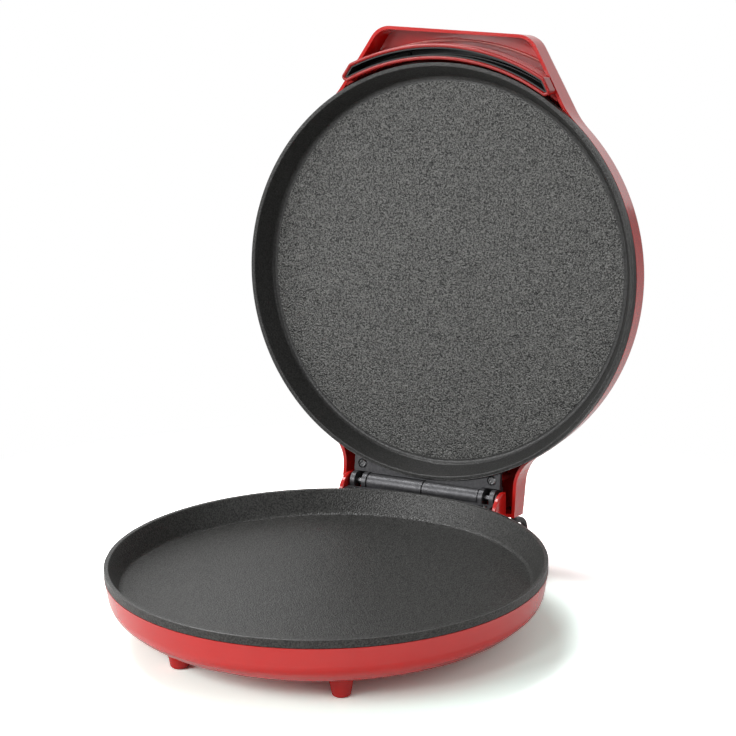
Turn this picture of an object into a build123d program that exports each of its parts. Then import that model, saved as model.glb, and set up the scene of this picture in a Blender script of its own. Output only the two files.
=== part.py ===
from build123d import *
import math
import os

# Electric pizza maker, standing open. Millimetres, +Z up, front at -Y, hinge at +Y.
# The origin is under the middle of the base, on the surface that the feet stand on.
#
# The pieces behind each cooking plate are drawn in one plate frame: its origin is the middle
# of the plate's rim plane, +Z points from the food side into the casing, +Y to the hinge.
# place_lid and place_base turn that frame into the lid's and the base's place.

# The two cooking plates, one casting used twice
plate_radius = 157.0
plate_rim_width = 3.0
plate_wall_run = 7.7
plate_depth = 17.3
plate_floor_thickness = 3.6
plate_wall = 2.8
plate_band_height = 6.0
pan_corner_radius = 3.5
plate_back_corner_radius = 4.0
rim_edge_radius = 0.9

# Heights of the base, the closed lid and the hinge
casing_underside_height = 15.0
base_rim_height = 54.45
closed_rim_gap = 1.03
axis_above_base_rim = 0.85
hinge_behind_plate = 7.9
lid_open_angle = 98.63

# Red moulded casings
casing_overhang = 0.1
casing_wall = 2.5
casing_edge_gap = 0.4
base_side_draw_in = 3.1
base_side_depth = 19.05
base_side_round = 14.0
base_flat_draw_in = 19.6
base_flat_round = 30.0
corner_shift = 0.35
rear_block_half_width = 65.4
rear_block_start = 67.0
rear_block_draft = 2.5
rear_block_corner_radius = 5.0
rear_block_edge_radius = 5.0
rear_wall_clearance = 0.45
rear_wall_leaf_gap = 0.5

# Lid casing
lid_top_depth = 40.0
lid_dome_radius = 1690.0
lid_draft = 6.5
block_draft = 1.5
lid_top_round = 6.0
wing_half_width = 72.0
wing_behind_hinge = 13.6
wing_blend_radius = 27.0

# Handle hood and the curved loop in it
hood_front_reach = 10.3
hood_side_angle = 30.6
hood_side_draw_in = 11.5
hood_corner_radius = 17.0
hood_blend_radius = 60.0
loop_proud = 6.0
loop_plate_gap = 2.2
loop_width = 11.5
loop_rail_width = 2.5
loop_outer_angle = 27.6
loop_tip_angle = 31.6
loop_tip_inset = 4.8
loop_inner_angle = 30.2
loop_corner_radius = 3.2
loop_rail_round = 1.1
loop_slot_depth = 18.0
loop_casing_gap = 0.4
liner_gap = 0.12
liner_drop = 1.4
liner_wall = 0.9
liner_ledge_depth = 9.0
liner_ledge_width = 1.2
loop_skirt_draft = 4.7
loop_floor_thickness = 2.5

# Hinge: two like cast leaves whose barrels and forks interleave along one pin
barrel_radius = 6.4
knuckle_plane_x = 46.25
knuckle_gap = 0.45
fork_end_x = 59.5
fork_ring_width = 3.5
fork_ring_radius = 6.9
knuckle_clearance = 0.6
leaf_half_width = 60.5
leaf_top_drop = 2.3
leaf_thickness = 4.0
leaf_front_reach = 22.0
leaf_rear_reach = 2.0
leaf_web_drop = 9.5
leaf_web_front = 7.5
leaf_web_slope = 2.0
leaf_plate_gap = 0.5
pin_radius = 2.5
pin_running_gap = 0.05
pin_end_x = 61.0
clip_thickness = 0.8
clip_radius = 4.6
clip_groove_depth = 0.5
hinge_screw_x = 53.8
hinge_screw_reach = 13.1
hinge_boss_radius = 3.4
ear_inner_x = 61.9
ear_radius = 16.2
ear_rise = 5.8
ear_edge_round = 0.9

# Screws: head radius and height, shank radius
hinge_screw = (3.3, 1.9, 1.5)
hinge_screw_length = 13.0
hinge_screw_seat_gap = 0.4
casing_screw = (3.2, 2.4, 1.5)
casing_screw_bite = 7.0
clamp_screw = (2.3, 1.4, 1.1)
clamp_screw_bite = 2.3
handle_screw = (1.6, 1.4, 1.0)
handle_screw_bite = 5.0
screw_hole_gap = 0.1

# What is screwed and pinned behind each plate
post_ring_radius = 80.0
post_angles = (45, 135, 225, 315)
plate_boss_radius = 5.0
standoff_radius = 4.8
counterbore_depth = 3.2
counterbore_gap = 0.4
locating_pin_radius = 2.0
locating_pin_length = 5.0
reflector_depth = 29.85
reflector_thickness = 0.6
reflector_margin = 20.0
reflector_lip = 5.0
reflector_window_radius = 15.0
push_ring_radius = 5.5
push_ring_thickness = 0.5
element_inset = 49.0
element_radius = 3.2
element_bend_radius = 16.0
element_leg_x = 16.0
element_leg_end_y = 52.0
element_pin_radius = 1.5
element_pin_length = 8.0
element_plate_gap = 0.2
clamp_sheet = 1.0
clamp_width = 10.0
clamp_foot = 6.0
clamp_angles = (-90, 8, 172)

# Electrical pieces
thermostat_radius = 8.0
thermostat_height = 6.5
thermostat_flange = (30.0, 13.0, 0.8)
thermostat_place = (0.0, -30.0)
thermostat_blade = (0.8, 4.8, 5.0)
fuse_radius = 2.0
fuse_length = 11.0
fuse_place = (34.0, 8.0)
fuse_lead_radius = 0.6
fuse_lead_length = 7.0
terminal_block_size = (30.0, 13.0)
terminal_plate_gap = 4.0
terminal_hole_height = 3.0
terminal_block_x = -18.0
terminal_block_reach = 17.0
terminal_well_radius = 2.2
terminal_hole_radius = 1.5
terminal_well_depth = 6.0
gland_place = (-40.0, 29.0)
gland_flange_radius = 7.0
gland_flange_thickness = 2.2
gland_neck_radius = 5.2
gland_bore_radius = 3.4
gland_lock_radius = 6.6
gland_lock_thickness = 1.4
lens_radius = 4.0
lens_spacing = 26.0
lens_inset = 20.0
lens_proud = 0.9
lens_flange_radius = 5.0
lens_flange_thickness = 1.0
lamp_radius = 2.6
lamp_length = 9.0
lamp_holder_size = (49.0, 9.0, 1.4)
lamp_post_spacing = 42.0
lamp_post_radius = 2.5
foot_top_radius = 9.3
foot_bottom_radius = 6.4
foot_round = 2.5
foot_stem_radius = 3.0
foot_stem_length = 4.5
front_foot_x = 62.4
front_foot_inset = 54.0
rear_foot_x = 46.0
rear_foot_inset = 23.0

# Lead between base and lid: corners of its route as (x, y, z)
lead_radius = 2.3
lead_x = 63.2
lead_lid_depth = 25.0
lead_lid_run = 6.6
lead_route = (
    (64.4, 202.5, 29.2),
    (64.8, 208.0, 19.5),
    (63.8, 202.0, 9.6),
    (60.8, 189.4, 7.0),
    (57.7, 178.7, 13.3),
)
lead_base_run = 5.0
lead_inner_run = 2.4
lead_bend_share = 0.45
bush_flange = 1.1
bush_flange_thickness = 1.2
bush_neck = 0.6
bush_gap = 0.15
seat_gap = 0.05
cut_reach = 8.0
base_bush_place = (56.0, 26.4)

# Values that follow from those above
casing_radius = plate_radius + casing_overhang
plate_floor_radius = plate_radius - plate_rim_width - plate_wall_run
hinge_axis_y = plate_radius + hinge_behind_plate
hinge_screw_y = hinge_axis_y - hinge_screw_reach
wing_end_y = hinge_axis_y + wing_behind_hinge
loop_inner_radius = plate_radius + loop_plate_gap
loop_outer_radius = loop_inner_radius + loop_width
loop_tip_radius = loop_inner_radius + loop_tip_inset
hood_front_y = loop_outer_radius + hood_front_reach
hood_side_distance = casing_radius - hood_side_draw_in
element_ring_radius = plate_radius - element_inset
reflector_radius = element_ring_radius + reflector_margin
lens_y = lens_inset - plate_radius
terminal_block_place = (terminal_block_x, hinge_axis_y - terminal_block_reach)
front_foot_place = (front_foot_x, front_foot_inset - plate_radius)
rear_foot_place = (rear_foot_x, plate_radius - rear_foot_inset)
lid_rim_height = base_rim_height + closed_rim_gap
hinge_axis_z = base_rim_height + axis_above_base_rim
casing_edge_depth = plate_band_height + casing_edge_gap
base_edge_height = base_rim_height - casing_edge_depth
plate_rim_inner_radius = plate_radius - plate_rim_width
pan_slope = (plate_rim_inner_radius - plate_floor_radius) / plate_depth
pan_wall_shift = plate_wall * math.hypot(1.0, pan_slope)
plate_back_depth = plate_depth + plate_floor_thickness
element_depth = plate_back_depth + element_plate_gap + element_radius
standoff_top_depth = reflector_depth + reflector_thickness
post_places = [
    (post_ring_radius * math.cos(math.radians(a)), post_ring_radius * math.sin(math.radians(a)))
    for a in post_angles
]
base_axis_depth = -axis_above_base_rim
lid_axis_depth = axis_above_base_rim - closed_rim_gap
base_underside_depth = base_rim_height - casing_underside_height


def rear_wall_y():
    """Rear face of the base, just clear of the open lid's rear wall edge, which rests there."""
    reach = wing_end_y - hinge_axis_y
    lift = lid_rim_height + casing_edge_depth - hinge_axis_z
    turn = math.radians(lid_open_angle)
    return hinge_axis_y + reach * math.cos(turn) + lift * math.sin(turn) - rear_wall_clearance


def polar(radius, angle_from_front):
    """Point in plan, with the angle measured from the front towards +X."""
    turn = math.radians(angle_from_front)
    return radius * math.sin(turn), -radius * math.cos(turn)


def rounded_face(corners):
    """Closed flat outline from (x, y, corner radius) points."""
    face = make_face(Polyline(*[(x, y) for x, y, r in corners], close=True))
    for x, y, r in corners:
        if r > 0:
            corner = face.vertices().sort_by_distance((x, y, 0))[0]
            face = fillet(corner, r)
    return face


def turned(corners, arc=360.0, start=0.0):
    """Solid of revolution about Z from (radius, z, corner radius) points."""
    section = Plane.XZ * rounded_face(corners)
    return Rot(0, 0, start) * revolve(section, Axis.Z, arc)


def post(radius, low, high, place=(0.0, 0.0)):
    """Upright round post between two heights."""
    return Pos(place[0], place[1], (low + high) / 2) * Cylinder(radius, high - low)


def bar_x(radius, start, end, y=0.0, z=0.0):
    """Round bar along X."""
    return Pos((start + end) / 2, y, z) * Rot(0, 90, 0) * Cylinder(radius, end - start)


def bar_y(radius, start, end, x=0.0, z=0.0):
    """Round bar along Y."""
    return Pos(x, (start + end) / 2, z) * Rot(90, 0, 0) * Cylinder(radius, end - start)


def block(x0, x1, y0, y1, z0, z1):
    """Straight-sided block between two corners."""
    return Pos((x0 + x1) / 2, (y0 + y1) / 2, (z0 + z1) / 2) * Box(x1 - x0, y1 - y0, z1 - z0)


def screw(size, length, recess=True):
    """Pan-head screw, with a cross recess if asked: the head's seat at z=0, the shank towards +Z."""
    head_radius, head_height, shank_radius = size
    body = turned([
        (0, -head_height, 0),
        (head_radius * 0.75, -head_height, 0),
        (head_radius, -head_height * 0.55, 0),
        (head_radius, 0, 0),
        (shank_radius, 0, 0),
        (shank_radius, length, 0),
        (0, length, 0),
    ])
    if not recess:
        return body
    recess_width = head_radius * 0.28
    recess_reach = head_radius * 0.62
    recess_floor = -head_height * 0.45
    cross = block(-recess_reach, recess_reach, -recess_width, recess_width, -head_height, recess_floor)
    return body - cross - Rot(0, 0, 90) * cross


def at(place, z=0.0):
    """Location over a place in plan."""
    return Pos(place[0], place[1], z)


def place_lid_closed(piece):
    """Plate frame to the closed lid's place."""
    return Pos(0, 0, lid_rim_height) * piece


def open_lid(piece):
    """Closed place to the open lid's, about the hinge pin."""
    hinge = Pos(0, hinge_axis_y, hinge_axis_z)
    return hinge * Rot(-lid_open_angle, 0, 0) * hinge.inverse() * piece


def place_lid(piece):
    """Plate frame to the open lid's place."""
    return open_lid(place_lid_closed(piece))


def place_base(piece):
    """Plate frame to the base's place, upside down."""
    return Pos(0, 0, base_rim_height) * Rot(0, 180, 0) * piece


def cooking_plate(with_pins):
    """Die-cast pan with its rim, outer band and the bosses on its back."""
    band_wall_radius = plate_rim_inner_radius - pan_slope * plate_band_height + pan_wall_shift
    back_wall_radius = plate_rim_inner_radius - pan_slope * plate_back_depth + pan_wall_shift
    plate = turned([
        (0, plate_depth, 0),
        (plate_floor_radius, plate_depth, pan_corner_radius),
        (plate_rim_inner_radius, 0, rim_edge_radius),
        (plate_radius, 0, rim_edge_radius),
        (plate_radius, plate_band_height, 0),
        (band_wall_radius, plate_band_height, 0),
        (back_wall_radius, plate_back_depth, plate_back_corner_radius),
        (0, plate_back_depth, 0),
    ])
    for place in post_places:
        plate += post(plate_boss_radius, plate_back_depth - 1, reflector_depth, place)
        if with_pins:
            plate += post(
                locating_pin_radius, reflector_depth - 1, standoff_top_depth + locating_pin_length, place
            )
        else:
            hole_radius = casing_screw[2] + screw_hole_gap
            plate -= post(hole_radius, reflector_depth - casing_screw_bite - 1, reflector_depth, place)
    holes = clamp_screw_places(element_ring_radius, element_radius, clamp_angles)
    if not with_pins:
        holes = holes + thermostat_screw_places() + fuse_screw_places()
    for place in holes:
        hole_top = plate_back_depth - clamp_screw_bite - screw_hole_gap
        plate -= post(clamp_screw[2] + screw_hole_gap, hole_top, plate_back_depth, place)
    return plate


def heating_element():
    """Tubular element: an open ring whose two legs turn in towards the middle."""
    bend_x = element_leg_x + element_bend_radius
    bend_y = math.sqrt((element_ring_radius - element_bend_radius) ** 2 - bend_x ** 2)
    grow = element_ring_radius / (element_ring_radius - element_bend_radius)
    middle = math.radians((180 + math.degrees(math.atan2(bend_y, bend_x))) / 2)
    bend_mid_x = bend_x + element_bend_radius * math.cos(middle)
    bend_mid_y = bend_y + element_bend_radius * math.sin(middle)
    right_leg = Line((element_leg_x, element_leg_end_y), (element_leg_x, bend_y))
    right_bend = ThreePointArc(
        (element_leg_x, bend_y), (bend_mid_x, bend_mid_y), (bend_x * grow, bend_y * grow)
    )
    ring = ThreePointArc(
        (bend_x * grow, bend_y * grow), (0, -element_ring_radius), (-bend_x * grow, bend_y * grow)
    )
    left_bend = ThreePointArc(
        (-bend_x * grow, bend_y * grow), (-bend_mid_x, bend_mid_y), (-element_leg_x, bend_y)
    )
    left_leg = Line((-element_leg_x, bend_y), (-element_leg_x, element_leg_end_y))
    path = Wire([e for part in (right_leg, right_bend, ring, left_bend, left_leg) for e in part.edges()])
    section = Plane((element_leg_x, element_leg_end_y, 0), x_dir=(1, 0, 0), z_dir=(0, 1, 0))
    element = sweep(section * Circle(element_radius), path=path)
    for side in (-1, 1):
        pin_end_y = element_leg_end_y - element_pin_length
        element += bar_y(element_pin_radius, pin_end_y, element_leg_end_y + 1, side * element_leg_x)
    return Pos(0, 0, element_depth) * element


def clamp(tube_radius):
    """Saddle strap over a tube along Y that lies on a plate above: feet at z=0, arch to +Z."""
    inner = tube_radius + element_plate_gap
    outer = inner + clamp_sheet
    centre = element_plate_gap + tube_radius
    arch = Pos(0, centre) * Circle(outer) + Pos(0, centre / 2) * Rectangle(2 * outer, centre)
    arch += Pos(0, clamp_sheet / 2) * Rectangle(2 * (outer + clamp_foot), clamp_sheet)
    hollow = Pos(0, centre) * Circle(inner) + Pos(0, centre / 2 - 1) * Rectangle(2 * inner, centre + 2)
    upper = Pos(0, -outer) * Rectangle(4 * (outer + clamp_foot), 2 * outer)
    section = Plane.XZ * (arch - hollow - upper)
    strap = Pos(0, clamp_width / 2, 0) * extrude(section, clamp_width)
    for side in (-1, 1):
        place = (side * (outer + clamp_foot / 2), 0)
        strap -= post(clamp_screw[2] + screw_hole_gap, -1, clamp_sheet + 1, place)
    return strap


def clamp_screw_places(ring_radius, tube_radius, angles):
    """Where the two screws of each clamp go, for clamps round a ring."""
    offset = tube_radius + element_plate_gap + clamp_sheet + clamp_foot / 2
    places = []
    for angle in angles:
        turn = math.radians(angle)
        for radius in (ring_radius - offset, ring_radius + offset):
            places.append((radius * math.cos(turn), radius * math.sin(turn)))
    return places


def thermostat_screw_places():
    """Screws at both ends of the thermostat's flange."""
    reach = (thermostat_flange[0] + 2 * thermostat_radius) / 4
    return [(thermostat_place[0] + side * reach, thermostat_place[1]) for side in (-1, 1)]


def fuse_screw_places():
    """Screws of the thermal fuse's clamp."""
    offset = fuse_radius + element_plate_gap + clamp_sheet + clamp_foot / 2
    return [(fuse_place[0] + side * offset, fuse_place[1]) for side in (-1, 1)]


def element_clamps():
    """Straps that hold the element to the plate."""
    straps = []
    for angle in clamp_angles:
        turn = Rot(0, 0, angle) * Pos(element_ring_radius, 0, plate_back_depth)
        straps += (turn * clamp(element_radius)).solids()
    return straps


def plate_screws(places, sheet):
    """Small screws through a sheet into the plate's back."""
    length = sheet + clamp_screw_bite
    turned_screw = Rot(180, 0, 0) * screw(clamp_screw, length, recess=False)
    return [(at(place, plate_back_depth + sheet) * turned_screw).solid() for place in places]


def heat_reflector(hole_radius):
    """Thin dished sheet between the element and the casing."""
    sheet = turned([
        (0, reflector_depth, 0),
        (reflector_radius - reflector_thickness, reflector_depth, 0),
        (reflector_radius - reflector_thickness, reflector_depth - reflector_lip, 0),
        (reflector_radius, reflector_depth - reflector_lip, 0),
        (reflector_radius, reflector_depth + reflector_thickness, 0),
        (0, reflector_depth + reflector_thickness, 0),
    ])
    low = reflector_depth - 1
    high = standoff_top_depth + 1
    for place in post_places:
        sheet -= post(hole_radius, low, high, place)
    return sheet - post(reflector_window_radius, low, high, (0, element_leg_end_y - element_pin_length))


def hinge_leaf(axis_depth):
    """One cast leaf: a tab with screw seats, a web, a long barrel at +X and a fork at -X."""
    reach_x = leaf_half_width
    section = make_face(Polyline(
        (-leaf_front_reach, leaf_top_drop),
        (leaf_rear_reach, leaf_top_drop),
        (leaf_rear_reach, leaf_web_drop),
        (-leaf_web_front, leaf_web_drop),
        (-leaf_web_front - leaf_web_slope, leaf_top_drop + leaf_thickness),
        (-leaf_front_reach, leaf_top_drop + leaf_thickness),
        close=True,
    ))
    leaf = Pos(-reach_x, 0, 0) * extrude(Plane.YZ * section, 2 * reach_x)
    barrel_room = barrel_radius + knuckle_clearance
    fork_room = fork_ring_radius + knuckle_clearance
    leaf -= bar_x(barrel_room, -knuckle_plane_x, 0)
    leaf -= bar_x(fork_room, knuckle_plane_x, reach_x + 1)
    leaf -= bar_x(fork_room, -reach_x - 1, -knuckle_plane_x)
    leaf += bar_x(barrel_radius, knuckle_gap, knuckle_plane_x - knuckle_gap)
    ring_starts = (-fork_end_x, -knuckle_plane_x - knuckle_gap - fork_ring_width)
    for start in ring_starts:
        end = start + fork_ring_width
        leaf += bar_x(fork_ring_radius, start, end)
        leaf += block(start, end, -fork_ring_radius, leaf_rear_reach, 0, leaf_web_drop)
    leaf -= bar_x(pin_radius + pin_running_gap, -reach_x - 1, reach_x + 1)
    plate_room = plate_radius + leaf_plate_gap
    leaf -= post(plate_room, -leaf_web_drop, leaf_web_drop + 1, (0, -hinge_axis_y))
    seat_depth = hinge_screw[1] - 0.4
    for side in (-1, 1):
        place = (side * hinge_screw_x, hinge_screw_y - hinge_axis_y)
        seat_low = leaf_top_drop - 1
        seat_high = leaf_top_drop + seat_depth
        leaf -= post(hinge_screw[0] + hinge_screw_seat_gap, seat_low, seat_high, place)
        leaf -= post(hinge_screw[2] + screw_hole_gap, seat_low, leaf_web_drop + 1, place)
    return Pos(0, hinge_axis_y, axis_depth) * leaf


def hinge_leaf_screws(axis_depth):
    """The two screws of a leaf, heads in their seats."""
    seat = axis_depth + leaf_top_drop + hinge_screw[1] - 0.4
    return [
        (Pos(side * hinge_screw_x, hinge_screw_y, seat) * screw(hinge_screw, hinge_screw_length)).solid()
        for side in (-1, 1)
    ]


def hinge_pin():
    """Steel pin with a groove near each end."""
    pin = bar_x(pin_radius, -pin_end_x, pin_end_x)
    pin = chamfer(pin.edges().filter_by(GeomType.CIRCLE), 0.3)
    for side in (-1, 1):
        centre = side * clip_centre_x()
        groove = bar_x(pin_radius + 1, centre - clip_thickness / 2, centre + clip_thickness / 2)
        groove -= bar_x(pin_radius - clip_groove_depth, centre - clip_thickness, centre + clip_thickness)
        pin -= groove
    return Pos(0, hinge_axis_y, hinge_axis_z) * pin


def clip_centre_x():
    """Middle of the retaining clip, just outside the fork."""
    return fork_end_x + (pin_end_x - fork_end_x) / 2


def hinge_pin_clips():
    """Open spring clips in the pin's grooves."""
    clips = []
    for side in (-1, 1):
        centre = side * clip_centre_x()
        half = clip_thickness / 2 - 0.05
        clip = bar_x(clip_radius, centre - half, centre + half)
        clip -= bar_x(pin_radius - clip_groove_depth + 0.05, centre - half - 1, centre + half + 1)
        mouth = pin_radius * 0.7
        clip -= block(centre - half - 1, centre + half + 1, -mouth, mouth, 0, clip_radius + 1)
        clips.append((Pos(0, hinge_axis_y, hinge_axis_z) * clip).solid())
    return clips


def nearest_corner(sketch, point):
    """Corner of a flat outline that lies nearest a point."""
    return sketch.vertices().sort_by_distance((point[0], point[1], 0))[0]


def lid_plan(inset, block_inset):
    """Plan of the lid: the round, the handle hood in front and the two-sided block behind."""
    radius = casing_radius - inset
    angle = math.radians(hood_side_angle)
    distance = hood_side_distance - block_inset
    front = hood_front_y - block_inset
    corner_x = (distance - front * math.sin(angle)) / math.cos(angle)
    foot = (distance * math.cos(angle), -distance * math.sin(angle))
    half = wing_half_width - block_inset
    end = wing_end_y - block_inset
    plan = Circle(radius)
    plan += make_face(Polyline(
        (0, 0), foot, (corner_x, -front), (-corner_x, -front), (-foot[0], foot[1]), close=True
    ))
    plan += make_face(Polyline((-half, 0), (half, 0), (half, end), (-half, end), close=True))
    meet = math.acos(distance / radius) + angle
    for side in (-1, 1):
        hood_meet = (side * radius * math.cos(meet), -radius * math.sin(meet))
        plan = fillet(nearest_corner(plan, hood_meet), hood_blend_radius + block_inset)
        plan = fillet(nearest_corner(plan, (side * corner_x, -front)), hood_corner_radius - block_inset)
        wing_meet = (side * half, math.sqrt(radius ** 2 - half ** 2))
        plan = fillet(nearest_corner(plan, wing_meet), wing_blend_radius + block_inset)
    return plan


def lid_form(inset):
    """The lid casing's outer form, or a form inside it, in the plate frame."""
    height = lid_top_depth - casing_edge_depth
    draw_in = height * math.tan(math.radians(lid_draft))
    block_draw_in = height * math.tan(math.radians(block_draft))
    low = lid_plan(inset, inset).face()
    high = lid_plan(inset + draw_in, inset + block_draw_in).face()
    sides = loft([Pos(0, 0, casing_edge_depth) * low, Pos(0, 0, lid_top_depth) * high], ruled=True)
    # The sphere lies on its side, so that its poles are far from the holes in the top.
    dome = Pos(0, 0, lid_top_depth - inset - lid_dome_radius) * Rot(90, 0, 90) * Sphere(lid_dome_radius)
    return sides & dome


def dome_depth(radius, inset=0.0):
    """Depth of the domed top at a distance from the middle."""
    drop = lid_dome_radius - math.sqrt(lid_dome_radius ** 2 - radius ** 2)
    return lid_top_depth - inset - drop


def lens_places():
    """The two lamps, side by side near the handle."""
    return [(side * lens_spacing / 2, lens_y) for side in (-1, 1)]


def lamp_post_places():
    """Posts of the lamp holder."""
    return [(side * lamp_post_spacing / 2, lens_y) for side in (-1, 1)]


def handle_screw_places():
    """Screws in the floor of the handle slot."""
    middle = (loop_inner_radius + loop_outer_radius) / 2 + liner_ledge_width / 2
    return [polar(middle, angle) for angle in (-loop_outer_angle / 2, loop_outer_angle / 2)]


def lid_casing():
    """Red lid shell with hood, wings, standoffs, bosses and holes."""
    shell = lid_form(0)
    top = shell.faces().sort_by(Axis.Z)[-1]
    shell = fillet(top.edges(), lid_top_round)
    shell -= lid_form(casing_wall)
    for place in post_places:
        roof = dome_depth(post_ring_radius, casing_wall / 2)
        shell += post(standoff_radius, standoff_top_depth + push_ring_thickness, roof, place)
        bore = locating_pin_radius + screw_hole_gap
        bore_end = standoff_top_depth + locating_pin_length + screw_hole_gap
        shell -= post(bore, standoff_top_depth, min(bore_end, roof - 1), place)
    for side in (-1, 1):
        place = (side * hinge_screw_x, hinge_screw_y)
        boss_start = lid_axis_depth + leaf_top_drop + leaf_thickness
        roof = dome_depth(math.hypot(*place), casing_wall / 2)
        shell += post(hinge_boss_radius, boss_start, roof, place)
        bore_end = lid_axis_depth + leaf_top_drop + hinge_screw[1] + hinge_screw_length
        shell -= post(hinge_screw[2] + screw_hole_gap, boss_start - 1, bore_end, place)
    for place in handle_screw_places():
        boss_start = loop_slot_depth + loop_floor_thickness
        roof = dome_depth(math.hypot(*place), casing_wall / 2)
        shell += post(handle_boss_radius(), boss_start, roof, place)
        shell -= post(handle_screw[2] + screw_hole_gap, boss_start - 1, boss_start + handle_screw_bite, place)
    for place in lens_places():
        roof = dome_depth(math.hypot(*place))
        shell -= post(lens_radius + screw_hole_gap, roof - 2 * casing_wall, roof + 1, place)
    for place in lamp_post_places():
        roof = dome_depth(math.hypot(*place), casing_wall / 2)
        shell += post(lamp_post_radius, lamp_holder_depth() + lamp_holder_size[2], roof, place)
    hole_radius = lead_radius + bush_neck + bush_gap
    return shell - bar_y(hole_radius, wing_end_y - 2 * cut_reach, wing_end_y + 1, lead_x, lead_lid_depth)


def handle_screws():
    """Screws through the liner and the slot's floor."""
    seat = loop_slot_depth - liner_gap - liner_wall
    length = loop_slot_depth - seat + loop_floor_thickness + handle_screw_bite
    return [(at(place, seat) * screw(handle_screw, length, recess=False)).solid()
            for place in handle_screw_places()]


def handle_boss_radius():
    """Boss under the slot floor, clear of the loop's walls."""
    return (loop_outer_radius - loop_inner_radius) / 2 - loop_rail_width + 0.1


def lens_seat_depth():
    """Depth at which a lens flange just clears the inside of the dome."""
    reach = math.hypot(lens_spacing / 2, lens_y) + lens_flange_radius
    return dome_depth(reach, casing_wall) - 0.1


def lamp_holder_depth():
    """The holder hangs below the lenses by the lamps' size."""
    return lens_seat_depth() - lens_flange_thickness - 2 * lamp_radius - lamp_holder_size[2] - 0.4


def loop_plan():
    """Plan of the curved loop between plate and hood."""
    right = [
        polar(loop_outer_radius, loop_outer_angle),
        polar(loop_tip_radius, loop_tip_angle),
        polar(loop_inner_radius, loop_inner_angle),
    ]
    left = [(-x, y) for x, y in right]
    outline = [
        ThreePointArc(left[0], (0, -loop_outer_radius), right[0]),
        Polyline(*right),
        ThreePointArc(right[2], (0, -loop_inner_radius), left[2]),
        Polyline(*reversed(left)),
    ]
    plan = make_face([edge for part in outline for edge in part.edges()])
    for side in (right, left):
        for point in side:
            plan = fillet(nearest_corner(plan, point), loop_corner_radius)
    return plan


def slot_plan(inset):
    """Plan of the finger slot, or of a form in it, the loop's plan less a band all round."""
    return offset(loop_plan(), -inset, kind=Kind.INTERSECTION)


def handle_insert():
    """Moulded loop with the finger slot; it stands proud of the hood and fills it to the roof."""
    span = 2 * (loop_tip_angle + 1)
    start = -90 - span / 2
    lean = math.tan(math.radians(loop_skirt_draft))
    roof = lid_top_depth
    outer_low = loop_outer_radius + lean * roof
    floor = loop_slot_depth + loop_floor_thickness
    body = turned([
        (loop_inner_radius, casing_edge_depth, 0),
        (loop_outer_radius + lean * casing_edge_depth, casing_edge_depth, 0),
        (outer_low, roof, 0),
        (loop_inner_radius, roof, 0),
    ], span, start)
    body = body & lid_form(casing_wall + loop_casing_gap)
    back = turned([
        (loop_inner_radius - 1, floor, 0),
        (loop_outer_radius + lean * floor - loop_rail_width, floor, 0),
        (outer_low - loop_rail_width, roof, 0),
        (loop_inner_radius - 1, roof, 0),
    ], span, start)
    rails = extrude(Pos(0, 0, -loop_proud) * loop_plan(), loop_proud + casing_edge_depth)
    insert = rails + (body - back)
    insert -= extrude(Pos(0, 0, -loop_proud) * slot_plan(loop_rail_width), loop_proud + loop_slot_depth)
    for place in handle_screw_places():
        insert -= post(handle_screw[2] + screw_hole_gap, loop_slot_depth - 1, floor + 1, place)
    rim_edges = insert.edges().group_by(Axis.Z)[0]
    return fillet(rim_edges, loop_rail_round)


def slot_liner():
    """Black trough that lines the finger slot, with a small ledge along its inner side."""
    gap = loop_rail_width + liner_gap
    top = liner_drop - loop_proud
    floor = loop_slot_depth - liner_gap
    liner = extrude(Pos(0, 0, top) * slot_plan(gap), floor - top)
    liner -= extrude(Pos(0, 0, top) * slot_plan(gap + liner_wall), floor - liner_wall - top)
    ledge_inner = loop_inner_radius + gap + liner_wall / 2
    ledge_span = 2 * (loop_inner_angle - 3)
    liner += turned([
        (ledge_inner, liner_ledge_depth, 0),
        (ledge_inner + liner_ledge_width, liner_ledge_depth, 0),
        (ledge_inner + liner_ledge_width, floor - liner_wall / 2, 0),
        (ledge_inner, floor - liner_wall / 2, 0),
    ], ledge_span, -90 - ledge_span / 2)
    for place in handle_screw_places():
        liner -= post(handle_screw[2] + screw_hole_gap, floor - 2 * liner_wall, floor + 1, place)
    return liner


def base_round(inset):
    """The base casing's turned form, or a form inside it, in the plate frame."""
    bottom = base_underside_depth - inset
    side = casing_edge_depth + base_side_depth - inset * corner_shift
    return turned([
        (0, casing_edge_depth, 0),
        (casing_radius - inset, casing_edge_depth, 0),
        (casing_radius - base_side_draw_in - inset, side, base_side_round - inset),
        (casing_radius - base_flat_draw_in - inset * corner_shift, bottom, base_flat_round - inset),
        (0, bottom, 0),
    ])


def rear_block(inset):
    """Block behind the round base that carries the hinge, with a rounded underside."""
    half = rear_block_half_width - inset
    end = rear_wall_y() - inset
    corner = rear_block_corner_radius - inset / 2
    start = plate_radius - rear_block_start
    height = base_underside_depth - inset - casing_edge_depth
    plan = Pos(0, (start + end) / 2, casing_edge_depth) * Rectangle(2 * half, end - start)
    form = extrude(plan, height, taper=rear_block_draft)
    middle = casing_edge_depth + height / 2
    uprights = form.edges().filter_by(
        lambda e: e.center().Y > end - corner and abs(e.center().Z - middle) < height / 4
    )
    form = fillet(uprights, corner)
    under = form.faces().sort_by(Axis.Z)[-1]
    rear_edges = under.edges().filter_by(lambda e: e.center().Y > start + corner)
    return fillet(rear_edges, rear_block_edge_radius - inset / 2)


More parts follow.
